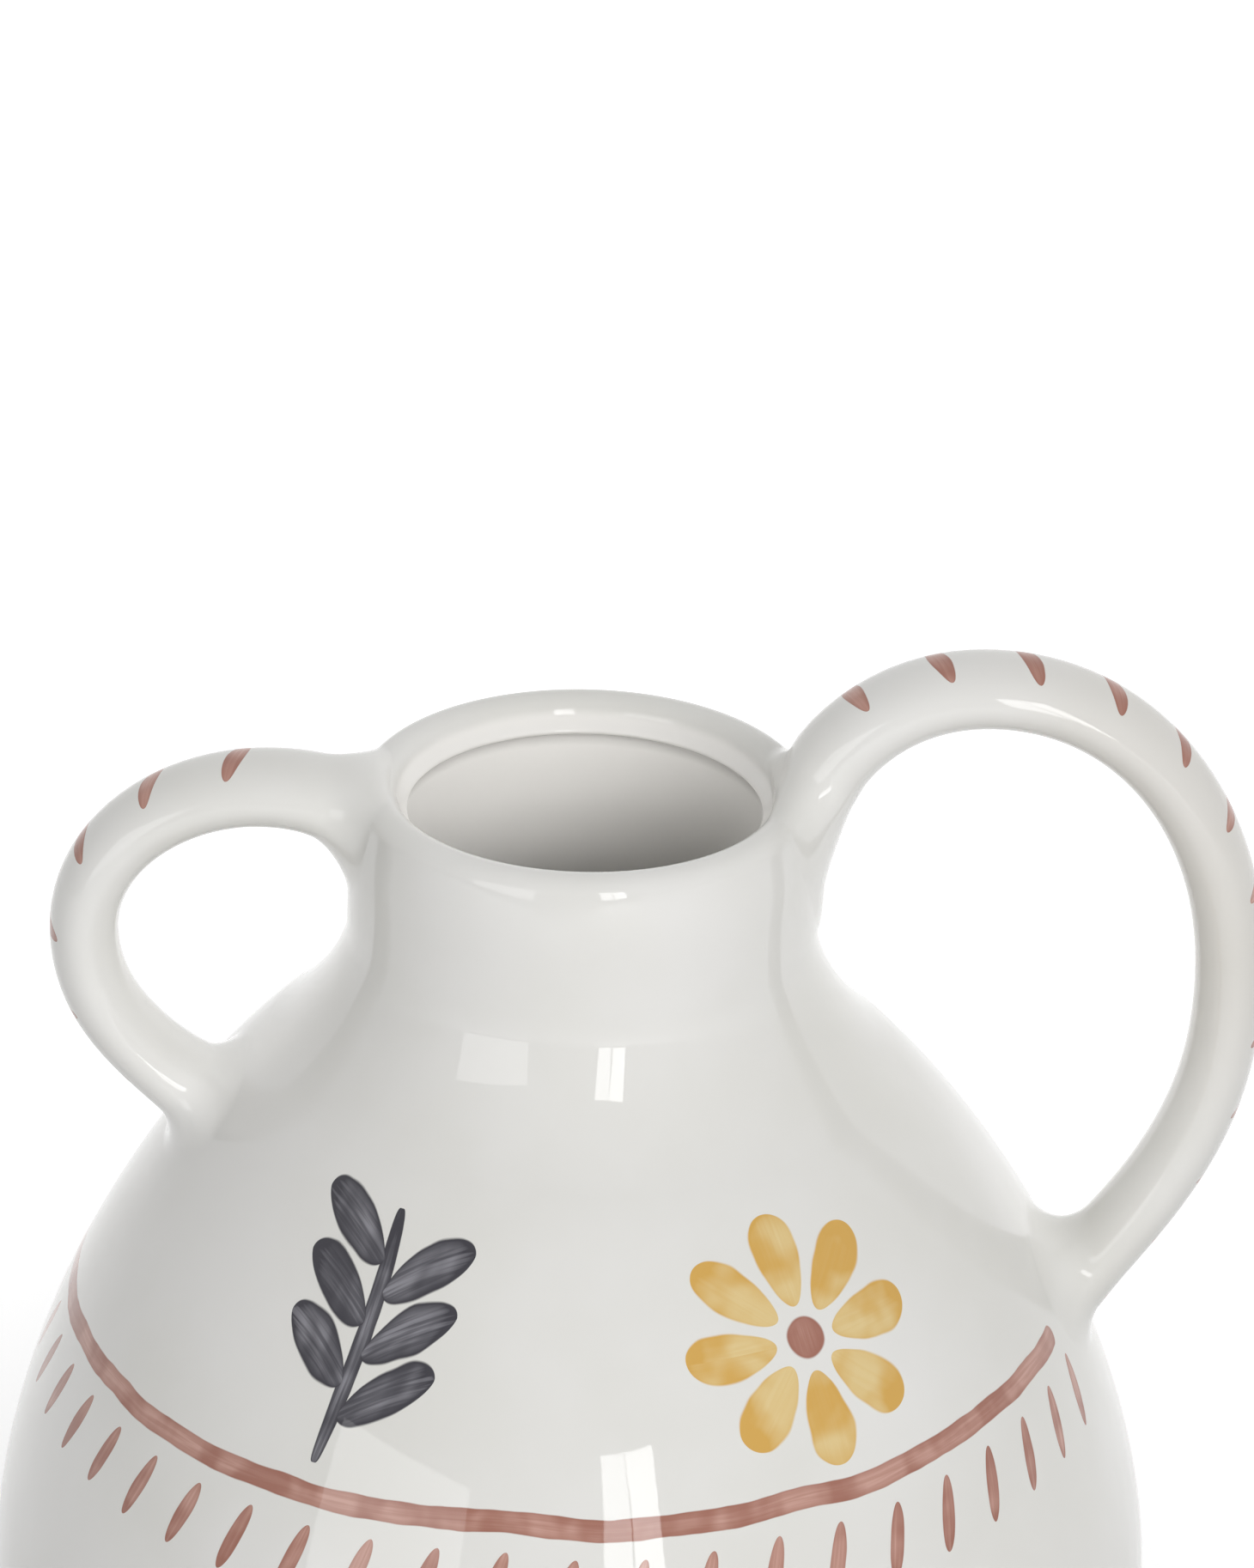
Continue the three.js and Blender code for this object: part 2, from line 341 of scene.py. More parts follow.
# %% The strap
strap_width = 17 * MM
columns = 48
turns = np.arange(columns) * 2 * math.pi / columns


class Strap:
    """An oval strap along a chain of Bezier curves in the XZ plane, which swells at both ends."""

    def __init__(self, curves, thickness, upper_swell, lower_swell):
        line = [point for curve in curves for point in bezier(*curve, 100)] + [curves[-1][-1]]
        self.line = np.array(line)
        steps = np.hypot(*np.diff(self.line, axis=0).T)
        self.marks = np.concatenate([[0], np.cumsum(steps)])
        self.length = self.marks[-1]
        heading = np.gradient(self.line, self.marks, axis=0)
        self.heading = heading / np.hypot(heading[:, 0], heading[:, 1])[:, None]
        self.thickness = thickness
        self.swells = upper_swell, lower_swell
        self.side = 1 if self.line[-1, 0] > 0 else -1

    def skin(self, along):
        """Points and normals of the strap, for an array of lengths with one column for each turn."""
        x, z = (np.interp(along, self.marks, self.line[:, k]) for k in (0, 1))
        way_x, way_z = (np.interp(along, self.marks, self.heading[:, k]) for k in (0, 1))
        (rise_up, reach_up), (rise_low, reach_low) = self.swells
        swell = rise_up * np.exp(-along / reach_up)
        swell += rise_low * np.exp((along - self.length) / reach_low)
        half_thick = (np.interp(along, (0, self.length), self.thickness) + swell) / 2
        half_wide = (strap_width + swell) / 2
        out_x, out_z = -way_z * self.side, way_x * self.side
        across = np.sin(turns) * half_wide
        out = np.cos(turns) * half_thick
        points = np.stack([axis_x + x + out * out_x, across + 0 * x, z + out * out_z], -1)
        lean = np.cos(turns) * half_wide
        normals = np.stack([lean * out_x, np.sin(turns) * half_thick + 0 * x, lean * out_z], -1)
        return points, normals / np.linalg.norm(normals, axis=-1, keepdims=True)


def route(*points):
    """Three Bezier curves from ten points in millimetres."""
    points = [(x * MM, z * MM) for x, z in points]
    return [points[k:k + 4] for k in (0, 3, 6)]


large_strap = Strap(route((33, 217), (39, 247), (55, 256.45), (69.5, 256.45), (94, 256.45), (111.55, 234),
                          (111.65, 204), (111.75, 180), (103.8, 163.5), (81, 139.5)),
                    (12.5 * MM, 11.4 * MM), (8 * MM, 15 * MM), (9 * MM, 6 * MM))
small_strap = Strap(route((-30, 231), (-38, 236.8), (-43.5, 238.4), (-51, 238.4), (-66.5, 238.4),
                          (-81.2, 227.3), (-81.2, 212), (-81.2, 199), (-73.8, 189.4), (-56.5, 177.5)),
                    (12 * MM, 11.4 * MM), (4 * MM, 9 * MM), (9 * MM, 6 * MM))
print("straps of", large_strap.length, "and", small_strap.length, "m")


# %% A root that flows into its host
mouth_limit = 31.8 * MM
mouth_blend = 3 * MM
lip_top = lip_height + lip_radius
near_lip = 3 * MM
clear_of_lip = 14 * MM
scan_steps = 400
strap_rings = 10
fillet_rings = 16
clearance = 0.02 * MM
hem = (1.0 * MM, 0.05 * MM), (1.6 * MM, 0.8 * MM)
seated_rings = 3
ring_pitch = 2 * MM


def beside_mouth(points):
    """Bend points that would hang over the mouth back onto the crest of the lip."""
    local = (points - neck_host.place) @ neck_host.turn
    radius = np.hypot(local[..., 0], local[..., 1])
    past = radius - mouth_limit
    kept = mouth_limit + (past + np.hypot(past, mouth_blend)) / 2
    share = np.interp(local[..., 2], (lip_top + near_lip, lip_top + clear_of_lip), (1, 0))
    grown = 1 + share * (kept / radius - 1)
    local = local * np.stack([grown, grown, 1 + 0 * grown], -1)
    return local @ neck_host.turn.T + neck_host.place


def even(values):
    """Average over five neighbouring columns, so that one column cannot stand out."""
    return sum(np.roll(values, shift) for shift in range(-2, 3)) / 5


def root_rings(strap, host, collar_mark, end_mark, inner_radius, side_radius, outer_radius):
    """Rings from a mark on the strap down to the host, with a fillet whose radius changes round it."""
    inward = (1 - np.cos(turns)) / 2
    radius = np.interp(inward, (0, 0.5, 1), (outer_radius, side_radius, inner_radius))

    def skin(marks):
        points, normals = strap.skin(marks)
        return (beside_mouth(points) if host is neck_host else points), normals

    scan = np.linspace(collar_mark, end_mark, scan_steps)[:, None] + 0 * turns
    lowest = np.minimum.accumulate(host.near(skin(scan)[0])[0], axis=0)

    def mark_at(target):
        """Mark on each column where it first comes as near to the host as the target."""
        columns_of_marks = zip(target, lowest.T, scan.T)
        return even(np.array([np.interp(-aim, -down, marks) for aim, down, marks in columns_of_marks]))

    start = mark_at(radius)
    rings = []
    for share in np.linspace(0, 1, strap_rings)[:-1]:
        marks = collar_mark + (start - collar_mark) * share
        rings.append((skin(marks)[0], marks))
    for turn in np.radians(np.linspace(0, 90, fillet_rings)):
        aim = radius * (1 - math.sin(turn)) + clearance
        marks = mark_at(aim)
        points, normals = skin(marks)
        up = host.near(points)[1]
        tangent = normals - (normals * up).sum(-1, keepdims=True) * up
        points = points + tangent * (radius * (1 - math.cos(turn)))[:, None]
        rings.append((host.at(points, aim), marks))
    travel = rings[-1][0] - rings[-2][0]
    travel = travel / np.linalg.norm(travel, axis=-1, keepdims=True)
    edge = rings[-1][0]
    for reach, depth in hem:
        rings.append((host.at(edge + travel * reach, -depth), rings[-1][1]))
    return rings


def pulled_handle(name, strap, upper, lower, nodes):
    """Extrude an oval through all its rings and close both ends inside the hosts."""
    top = root_rings(strap, neck_host, upper["collar"], 0, *upper["radii"])
    bottom = root_rings(strap, body_host, strap.length - lower["collar"], strap.length, *lower["radii"])
    count = round((strap.length - upper["collar"] - lower["collar"]) / ring_pitch)
    middle = np.linspace(upper["collar"], strap.length - lower["collar"], count)[1:-1]
    between = [(strap.skin(mark + 0 * turns)[0], mark + 0 * turns) for mark in middle]
    rings = top[::-1] + between + bottom
    lower_seat = len(rings) - seated_rings

    bm = bmesh.new()
    along = bm.verts.layers.float.new("along")
    outer = bm.verts.layers.float.new("outer")
    seat_mark = bm.verts.layers.float.new("seat")
    ring = bmesh.ops.create_circle(bm, segments=columns, radius=strap_width / 2)["verts"]
    edges = list(bm.edges)
    for number, (points, marks) in enumerate(rings):
        if number:
            grown = bmesh.ops.extrude_edge_only(bm, edges=edges)["geom"]
            new = {item for item in grown if isinstance(item, bmesh.types.BMVert)}
            edges = [item for item in grown if isinstance(item, bmesh.types.BMEdge)]
            edges = [edge for edge in edges if new.issuperset(edge.verts)]
            links = ([edge.other_vert(vert) for edge in vert.link_edges] for vert in ring)
            ring = [next(mate for mate in mates if mate in new) for mates in links]
        for vert, point, mark, turn in zip(ring, points, marks, turns):
            vert.co = point
            vert[along] = mark
            vert[outer] = math.cos(turn)
            vert[seat_mark] = 1 if number < seated_rings else 2 if number >= lower_seat else 0
    bmesh.ops.holes_fill(bm, edges=bm.edges, sides=0)
    bmesh.ops.recalc_face_normals(bm, faces=bm.faces)
    made = piece(name, bm, "glaze", *nodes)
    seat(made, neck_host, body_host)
    return made


large = pulled_handle("large_pulled_handle", large_strap,
                      {"collar": 50 * MM, "radii": (11 * MM, 8 * MM, 5 * MM)},
                      {"collar": 38 * MM, "radii": (9.5 * MM, 7 * MM, 3 * MM)},
                      ("large_handle", "large_handle_upper_fillet", "large_handle_lower_fillet"))
small = pulled_handle("small_pulled_handle", small_strap,
                      {"collar": 26 * MM, "radii": (7 * MM, 6 * MM, 8 * MM)},
                      {"collar": 24 * MM, "radii": (4 * MM, 7 * MM, 5 * MM)},
                      ("small_handle", "small_handle_upper_fillet", "small_handle_lower_fillet"))


# %% [markdown]
# ## Shader helpers
#
# Materials are graphs of nodes. Two short functions keep them readable: `node` adds a node and fills its
# sockets with numbers or links, and `calc` adds one Math node and returns its result.


# %% Nodes by code
def fill(tree, socket, value):
    """Link a socket to a value that is a socket, or set its number."""
    if isinstance(value, bpy.types.NodeSocket):
        tree.links.new(value, socket)
    else:
        socket.default_value = value


def node(tree, kind, settings=None, **sockets):
    """Add a node, set its properties and fill its named sockets."""
    made = tree.nodes.new("ShaderNode" + kind)
    for name, value in (settings or {}).items():
        setattr(made, name, value)
    for name, value in sockets.items():
        fill(tree, made.inputs[name.replace("_", " ")], value)
    return made


def calc(tree, operation, *values, clamp=False):
    """One Math node."""
    made = node(tree, "Math", {"operation": operation, "use_clamp": clamp})
    for socket, value in zip(made.inputs, values):
        fill(tree, socket, value)
    return made.outputs[0]


def step(tree, value, start, end):
    """A smooth step from 0 at the start to 1 at the end."""
    made = node(tree, "MapRange", {"interpolation_type": "SMOOTHSTEP"}, Value=value)
    made.inputs["From Min"].default_value = start
    made.inputs["From Max"].default_value = end
    return made.outputs[0]


def blend(tree, share, first, second):
    """Mix two colours."""
    made = node(tree, "Mix", {"data_type": "RGBA"})
    fill(tree, made.inputs[0], share)
    fill(tree, made.inputs[6], first)
    fill(tree, made.inputs[7], second)
    return made.outputs[2]


def srgb(red, green, blue):
    """A colour as seen on screen, made linear."""
    levels = [channel / 255 for channel in (red, green, blue)]
    levels = [c / 12.92 if c <= 0.04045 else ((c + 0.055) / 1.055) ** 2.4 for c in levels]
    return (*levels, 1)


def group(name, inputs, outputs):
    """An empty node group with float sockets, or colours where the name says so."""
    tree = bpy.data.node_groups.new(name, "ShaderNodeTree")
    for names, way in ((inputs, "INPUT"), (outputs, "OUTPUT")):
        for socket in names:
            kind = "NodeSocketColor" if "Colour" in socket else "NodeSocketFloat"
            tree.interface.new_socket(socket, in_out=way, socket_type=kind)
    start = tree.nodes.new("NodeGroupInput")
    end = tree.nodes.new("NodeGroupOutput")
    return tree, start.outputs, end.inputs


def use(tree, made, **sockets):
    """A group inside a material."""
    holder = tree.nodes.new("ShaderNodeGroup")
    holder.node_tree = made
    for name, value in sockets.items():
        fill(tree, holder.inputs[name.replace("_", " ")], value)
    return holder.outputs


print("helpers ready")

# %% [markdown]
# ## The glaze
#
# A white stoneware glaze is a coat of glass, a third of a millimetre thick, over pale clay. It is smooth
# and reflects lamps sharply, but it is never perfect: it lies thicker in some places, and its surface is
# faintly wavy. One node group puts out these effects, and every glazed piece uses it on object
# coordinates, so they run on across the joints.
#
# Inside the pot the glaze colour is painted whiter and a little warmer: painted light that brightens the
# hollow of the mouth. The input
# Inside says where. It comes from the attribute `rise`, which grows along the profile past the lip.

# %% Glaze group
glaze, glaze_in, glaze_out = group("glaze_skin", ["Inside"], ["Colour", "Roughness", "Height"])
place = node(glaze, "TexCoord").outputs["Object"]
cloud = node(glaze, "TexNoise", Vector=place, Scale=22.0, Detail=3.0).outputs[0]
waves = node(glaze, "TexNoise", Vector=place, Scale=45.0, Detail=1.0).outputs[0]
peel = node(glaze, "TexNoise", Vector=place, Scale=420.0, Detail=2.0).outputs[0]
tint = blend(glaze, step(glaze, cloud, 0.3, 0.7), srgb(226, 225, 220), srgb(232, 231, 228))
# Inside the pot the colour turns whiter and warmer: painted light in the hollow of the mouth.
glaze_with_painted_inside_light = blend(glaze, glaze_in["Inside"], tint, srgb(246, 244, 240))
fill(glaze, glaze_out["Colour"], glaze_with_painted_inside_light)
fill(glaze, glaze_out["Roughness"], calc(glaze, "MULTIPLY_ADD", cloud, 0.03, 0.015))
wave_height = 0.12 * MM
peel_height = 0.004 * MM
height = calc(glaze, "MULTIPLY", waves, wave_height)
fill(glaze, glaze_out["Height"], calc(glaze, "MULTIPLY_ADD", peel, peel_height, height))


def length_of(profile):
    """Length along a profile."""
    return float(np.hypot(*np.diff(np.array(profile), axis=0).T).sum())


def glazed(name, outside_length=None):
    """A material with the glaze on it; returns it with its tree, its shader and the glaze's colour."""
    material = bpy.data.materials.new(name)
    material.use_nodes = True
    tree = material.node_tree
    shader = tree.nodes["Principled BSDF"]
    inside = 0.0
    if outside_length:
        rise = node(tree, "Attribute", {"attribute_name": "rise"}).outputs["Fac"]
        # Past the outside, inside the pot, the glaze takes its painted light.
        inside = step(tree, rise, outside_length - MM, outside_length + MM)
    skin = use(tree, glaze, Inside=inside)
    fill(tree, shader.inputs["Roughness"], skin["Roughness"])
    bump = node(tree, "Bump", Height=skin["Height"], Distance=1.0, Strength=1.0)
    fill(tree, shader.inputs["Normal"], bump.outputs[0])
    return material, tree, shader, skin["Colour"]


plain_glaze, tree, shader, colour = glazed("plain_glaze", length_of(collar_outside))
fill(tree, shader.inputs["Base Color"], colour)
collar.data.materials.append(plain_glaze)
print("glaze group with", len(glaze.nodes), "nodes")

# %% [markdown]
# ## Brush strokes
#
# The decoration is painted with a soft brush on the raw clay and shows through the glaze. Watery colour
# does three things: it lies in soft clouds, thin here and dense there, it pools at the outline and where
# the brush is lifted, and single hairs leave pale streaks along the middle of the stroke.
#
# The group below makes all three from the place in the stroke. Edge is 0 on its middle line and 1 on its
# outline, Across and Along are lengths in metres, Share runs from 0 to 1 along it, and Seed makes each
# stroke different. Streaks is high for a dry brush and low for a wet one. Cover says where the colour
# lies and Tone how much of it there is.

# %% Brush group
brush_sockets = ["Edge", "Across", "Along", "Share", "Seed", "Streaks"]
brush, stroke, painted = group("brush_stroke", brush_sockets, ["Cover", "Tone"])
seed_step = calc(brush, "MULTIPLY", stroke["Seed"], 0.1)
spot = node(brush, "CombineXYZ", X=stroke["Across"], Y=stroke["Along"], Z=seed_step).outputs[0]
wobble = node(brush, "TexNoise", Vector=spot, Scale=130.0, Detail=1.0).outputs[0]
edge = calc(brush, "ADD", stroke["Edge"], calc(brush, "MULTIPLY_ADD", wobble, 0.36, -0.18))
clouds = node(brush, "TexNoise", Vector=spot, Scale=95.0, Detail=2.0).outputs[0]
wash = step(brush, clouds, 0.38, 0.62)
across = calc(brush, "MULTIPLY", stroke["Across"], 1500.0)
along = calc(brush, "MULTIPLY", stroke["Along"], 60.0)
hair_spot = node(brush, "CombineXYZ", X=across, Y=along, Z=stroke["Seed"]).outputs[0]
hairs = node(brush, "TexNoise", Vector=hair_spot, Scale=1.0, Detail=2.0).outputs[0]
middle = calc(brush, "SUBTRACT", 1.0, step(brush, edge, 0.25, 0.95))
streaked = calc(brush, "MULTIPLY_ADD", step(brush, hairs, 0.36, 0.64), 0.8, 0.2)
pale = calc(brush, "MULTIPLY", middle, streaked)
pale = calc(brush, "MULTIPLY", pale, calc(brush, "MULTIPLY_ADD", wash, -0.6, 1.0))
dense = calc(brush, "SUBTRACT", 1.0, pale)
tone = calc(brush, "MULTIPLY_ADD", stroke["Streaks"], calc(brush, "SUBTRACT", dense, wash), wash)
lifted = calc(brush, "MULTIPLY", step(brush, stroke["Share"], 0.72, 1.0), 0.45)
pooled = calc(brush, "MULTIPLY", step(brush, edge, 0.8, 0.97), 0.2)
tone = calc(brush, "ADD", tone, calc(brush, "ADD", lifted, pooled), clamp=True)
fill(brush, painted["Tone"], tone)
fill(brush, painted["Cover"], calc(brush, "SUBTRACT", 1.0, step(brush, edge, 0.91, 1.04)))


far_outside = 9.0
least_inside = 0.001


def paint(tree, under, edge, across, along, share, seed, colours):
    """Lay one kind of stroke over a colour."""
    thin, heavy, streaks = colours
    marks = use(tree, brush, Edge=edge, Across=across, Along=along, Share=share, Seed=seed, Streaks=streaks)
    return blend(tree, marks["Cover"], under, blend(tree, marks["Tone"], thin, heavy))


def dab(tree, across, share, half_width, power=0.5):
    """Edge of a stroke that tapers to both ends of a share from 0 to 1."""
    inside = calc(tree, "MULTIPLY", calc(tree, "MULTIPLY", share, 4.0), calc(tree, "SUBTRACT", 1.0, share))
    shape = calc(tree, "POWER", calc(tree, "MAXIMUM", inside, least_inside), power)
    edge = calc(tree, "DIVIDE", calc(tree, "ABSOLUTE", across), calc(tree, "MULTIPLY", shape, half_width))
    past_ends = calc(tree, "LESS_THAN", inside, least_inside)
    return calc(tree, "MULTIPLY_ADD", past_ends, far_outside, edge)


charcoal = srgb(137, 136, 143), srgb(46, 44, 54), 0.9
yellow = srgb(226, 201, 142), srgb(213, 167, 78), 0.2
terracotta = srgb(202, 158, 144), srgb(160, 105, 88), 0.55
print("brush group with", len(brush.nodes), "nodes")

# %% [markdown]
# ## The painted body
#
# The body carries a plain folk pattern: a rosette of yellow dabs, a dark sprig of leaves, and a brushed
# band with short dashes under it. The rosette and the sprig come again on the far side.
#
# Every motif is drawn in lengths on the surface. The azimuth times the radius is the length round the
# pot, and the attribute `rise`, which the profile stored, is the length up its side.


# %% Lengths on the surface of the body
def hypotenuse(tree, a, b):
    """Length of a way with two legs."""
    return calc(tree, "SQRT", calc(tree, "MULTIPLY_ADD", a, a, calc(tree, "MULTIPLY", b, b)))


outside_length = length_of([(0, foot_height), *outside])
painted_glaze, tree, shader, colour = glazed("painted_glaze", outside_length)
spot = node(tree, "SeparateXYZ", Vector=node(tree, "TexCoord").outputs["Object"]).outputs
east = calc(tree, "SUBTRACT", spot["X"], axis_x)
south = calc(tree, "MULTIPLY", spot["Y"], -1.0)
azimuth = calc(tree, "ARCTAN2", east, south)
half_turn = calc(tree, "WRAP", azimuth, math.pi / 2, -math.pi / 2)
girth = hypotenuse(tree, east, south)
rise = node(tree, "Attribute", {"attribute_name": "rise"}).outputs["Fac"]

profile_lengths = np.cumsum(np.hypot(*np.diff(np.array(body_profile), axis=0).T))
side_heights = [height for _, height in outside]


def rise_at(height):
    """Length along the profile up to a height on the outside."""
    return float(np.interp(height, side_heights, profile_lengths[:len(outside)]))


def around(turn):
    """Length round the pot from an azimuth in degrees, on both sides of the pot."""
    return calc(tree, "MULTIPLY", girth, calc(tree, "SUBTRACT", half_turn, math.radians(turn)))


def above(height):
    """Length up the side from a height."""
    return calc(tree, "SUBTRACT", rise, rise_at(height))


print("the side is", outside_length, "m long with the underside")

# %% Band and dashes
band_height = 146 * MM
band_half = 1.9 * MM
round_the_pot = calc(tree, "MULTIPLY", azimuth, belly_radius)
drift = node(tree, "TexNoise", {"noise_dimensions": "1D"}, W=round_the_pot, Scale=24.0, Detail=1.0)
drift_reach = 4 * MM
unsteady = calc(tree, "MULTIPLY_ADD", drift.outputs[0], drift_reach, -drift_reach / 2)
band_across = calc(tree, "ADD", above(band_height), unsteady)
root_reach = 27 * MM
beside_root = calc(tree, "ABSOLUTE", calc(tree, "SUBTRACT", round_the_pot, math.pi / 2 * belly_radius))
past_end = calc(tree, "MAXIMUM", calc(tree, "SUBTRACT", root_reach, beside_root), 0.0)
band_edge = calc(tree, "DIVIDE", hypotenuse(tree, band_across, past_end), band_half)
colour = paint(tree, colour, band_edge, band_across, round_the_pot, 0.5, 1.0, terracotta)

dash_count = 48
dash_half = 1.7 * MM
dash_length = 12 * MM
dash_gap = 5 * MM
dash_slant = 0.35
dash_shift = -2 * MM
root_dashes = 1.5
cell = calc(tree, "MULTIPLY", azimuth, dash_count / (2 * math.pi))
dash_number = calc(tree, "ROUND", cell)
dash_across = calc(tree, "MULTIPLY", calc(tree, "SUBTRACT", cell, dash_number),
                   2 * math.pi * belly_radius / dash_count)
dash_along = calc(tree, "ADD", calc(tree, "MULTIPLY", band_across, -1.0), -dash_gap)
dash_across = calc(tree, "MULTIPLY_ADD", dash_along, dash_slant,
                   calc(tree, "ADD", dash_across, dash_shift))
dash_share = calc(tree, "DIVIDE", dash_along, dash_length)
from_root = calc(tree, "ABSOLUTE", calc(tree, "ADD", dash_number, -dash_count / 4))
at_root = calc(tree, "LESS_THAN", from_root, root_dashes)
dash_edge = dab(tree, dash_across, dash_share, dash_half)
dash_edge = calc(tree, "MULTIPLY_ADD", at_root, far_outside, dash_edge)
colour = paint(tree, colour, dash_edge, dash_across, dash_along, dash_share, dash_number, terracotta)
print(dash_count, "dashes under the band")

# %% Rosette
petals = 8
petal_start = 5.5 * MM
petal_length = 16 * MM
petal_half = 4.2 * MM
eye_radius = 3.6 * MM
rosette_turn = 33
rosette_height = 167.5 * MM
right = around(rosette_turn)
up = above(rosette_height)
reach = hypotenuse(tree, right, up)
bearing = calc(tree, "ARCTAN2", up, right)
petal_number = calc(tree, "ROUND", calc(tree, "MULTIPLY", bearing, petals / (2 * math.pi)))
off_petal = calc(tree, "MULTIPLY_ADD", petal_number, -2 * math.pi / petals, bearing)
petal_across = calc(tree, "MULTIPLY", reach, calc(tree, "SINE", off_petal))
petal_along = calc(tree, "MULTIPLY_ADD", reach, calc(tree, "COSINE", off_petal), -petal_start)
petal_share = calc(tree, "DIVIDE", petal_along, petal_length)
petal_width = calc(tree, "MULTIPLY_ADD", petal_share, 0.6 * petal_half, 0.7 * petal_half)
petal_edge = dab(tree, petal_across, petal_share, petal_width)
colour = paint(tree, colour, petal_edge, petal_across, petal_along, petal_share, petal_number, yellow)
eye_edge = calc(tree, "DIVIDE", reach, eye_radius)
colour = paint(tree, colour, eye_edge, right, up, 0.5, 5.0, terracotta)
print(petals, "petals")

# %% Sprig
stem_length = 44 * MM
stem_half = 1.5 * MM
leaf_length = 18.5 * MM
leaf_half = 3.7 * MM
leaf_pitch = 10.6 * MM
leaf_lean = math.radians(48)
leaf_rows = 3
leaf_droop = 18.0
sprig_turn = -30
sprig_height = 150.5 * MM
bend_rate = 55.0
bend_reach = 3 * MM
up = above(sprig_height)
bend = calc(tree, "SINE", calc(tree, "MULTIPLY", up, bend_rate))
right = calc(tree, "SUBTRACT", around(sprig_turn), calc(tree, "MULTIPLY", bend, bend_reach))
stem_share = calc(tree, "DIVIDE", up, stem_length)
stem_edge = dab(tree, right, stem_share, stem_half, 0.25)
colour = paint(tree, colour, stem_edge, right, up, stem_share, 2.0, charcoal)

out = calc(tree, "ABSOLUTE", right)
stagger = calc(tree, "MULTIPLY", calc(tree, "SIGN", right), leaf_pitch / 4)
droop = calc(tree, "MULTIPLY", calc(tree, "MULTIPLY", out, out), leaf_droop)
shear = calc(tree, "ADD", calc(tree, "MULTIPLY_ADD", out, -1 / math.tan(leaf_lean), up), stagger)
shear = calc(tree, "ADD", shear, droop)
leaf_cell = calc(tree, "DIVIDE", shear, leaf_pitch)
leaf_number = calc(tree, "ROUND", leaf_cell)
leaf_across = calc(tree, "MULTIPLY", calc(tree, "SUBTRACT", leaf_cell, leaf_number),
                   leaf_pitch * math.sin(leaf_lean))
leaf_along = calc(tree, "DIVIDE", out, math.sin(leaf_lean))
leaf_share = calc(tree, "DIVIDE", calc(tree, "ADD", leaf_along, -MM), leaf_length)
off_stem = calc(tree, "ADD", calc(tree, "LESS_THAN", leaf_number, 0.5),
                calc(tree, "GREATER_THAN", leaf_number, leaf_rows + 0.5))
leaf_edge = dab(tree, leaf_across, leaf_share, leaf_half, 0.6)
leaf_edge = calc(tree, "MULTIPLY_ADD", off_stem, far_outside, leaf_edge)
leaf_seed = calc(tree, "MULTIPLY_ADD", calc(tree, "SIGN", right), 0.37, leaf_number)
colour = paint(tree, colour, leaf_edge, leaf_across, leaf_along, leaf_share, leaf_seed, charcoal)
fill(tree, shader.inputs["Base Color"], colour)
thrown_body.data.materials.append(painted_glaze)
print("sprig of", stem_length, "m")

# %% [markdown]
# ## The handles' dashes
#
# Short strokes cross the outer side of both straps, as wide as one touch of a small brush. They use the
# attribute `along`, the length along the strap, and stay on its outer half with the attribute `outer`.
#
# On the middle of the large strap the glaze colour is painted darker and warmer: painted shade on that
# handle.

# %% Dashed glaze
cross_pitch = 13 * MM
cross_half = 1.5 * MM
cross_length = 12 * MM
cross_slant = 0.25
outer_side = 0.2
shade_start = 45 * MM, 90 * MM
shade_end = 80 * MM, 35 * MM
painted_shade_tint = srgb(196, 188, 176)


def dashed(handle, strap, first, last, thin):
    """Glaze with dashes of these numbers, counted from the collar, across one handle; thin is how much
    painted shade darkens its middle.
    """
    material, tree, shader, colour = glazed(handle.name + "_glaze")
    along = node(tree, "Attribute", {"attribute_name": "along"}).outputs["Fac"]
    # The middle stretch of the strap, where painted shade darkens the glaze colour.
    ending = step(tree, along, strap.length - shade_end[0], strap.length - shade_end[1])
    free = calc(tree, "SUBTRACT", step(tree, along, *shade_start), ending)
    colour = blend(tree, calc(tree, "MULTIPLY", free, thin, clamp=True), colour, painted_shade_tint)
    outer = node(tree, "Attribute", {"attribute_name": "outer"}).outputs["Fac"]
    spot = node(tree, "SeparateXYZ", Vector=node(tree, "TexCoord").outputs["Object"]).outputs
    slant = calc(tree, "MULTIPLY_ADD", spot["Y"], cross_slant, along)
    cell = calc(tree, "DIVIDE", slant, cross_pitch)
    number = calc(tree, "ROUND", cell)
    across = calc(tree, "MULTIPLY", calc(tree, "SUBTRACT", cell, number), cross_pitch)
    share = calc(tree, "DIVIDE", calc(tree, "ADD", spot["Y"], cross_length / 2), cross_length)
    off = calc(tree, "ADD", calc(tree, "LESS_THAN", number, first - 0.5),
               calc(tree, "GREATER_THAN", number, last + 0.5))
    off = calc(tree, "ADD", off, calc(tree, "LESS_THAN", outer, outer_side))
    edge = calc(tree, "MULTIPLY_ADD", off, far_outside, dab(tree, across, share, cross_half))
    colour = paint(tree, colour, edge, across, spot["Y"], share, number, terracotta)
    fill(tree, shader.inputs["Base Color"], colour)
    handle.data.materials.append(material)
    print("dashes", first, "to", last, "on", handle.name)


# The large handle gets painted shade on its middle, the small one none.
dashed(large, large_strap, 3, 16, 0.28)
dashed(small, small_strap, 2, 7, 0.0)

# %% [markdown]
# ## Bare clay
#
# Where the pot stands it has no glaze. Fired stoneware is matt, sandy in colour and slightly grainy to
# the finger, which a rough shader with a small bump shows.

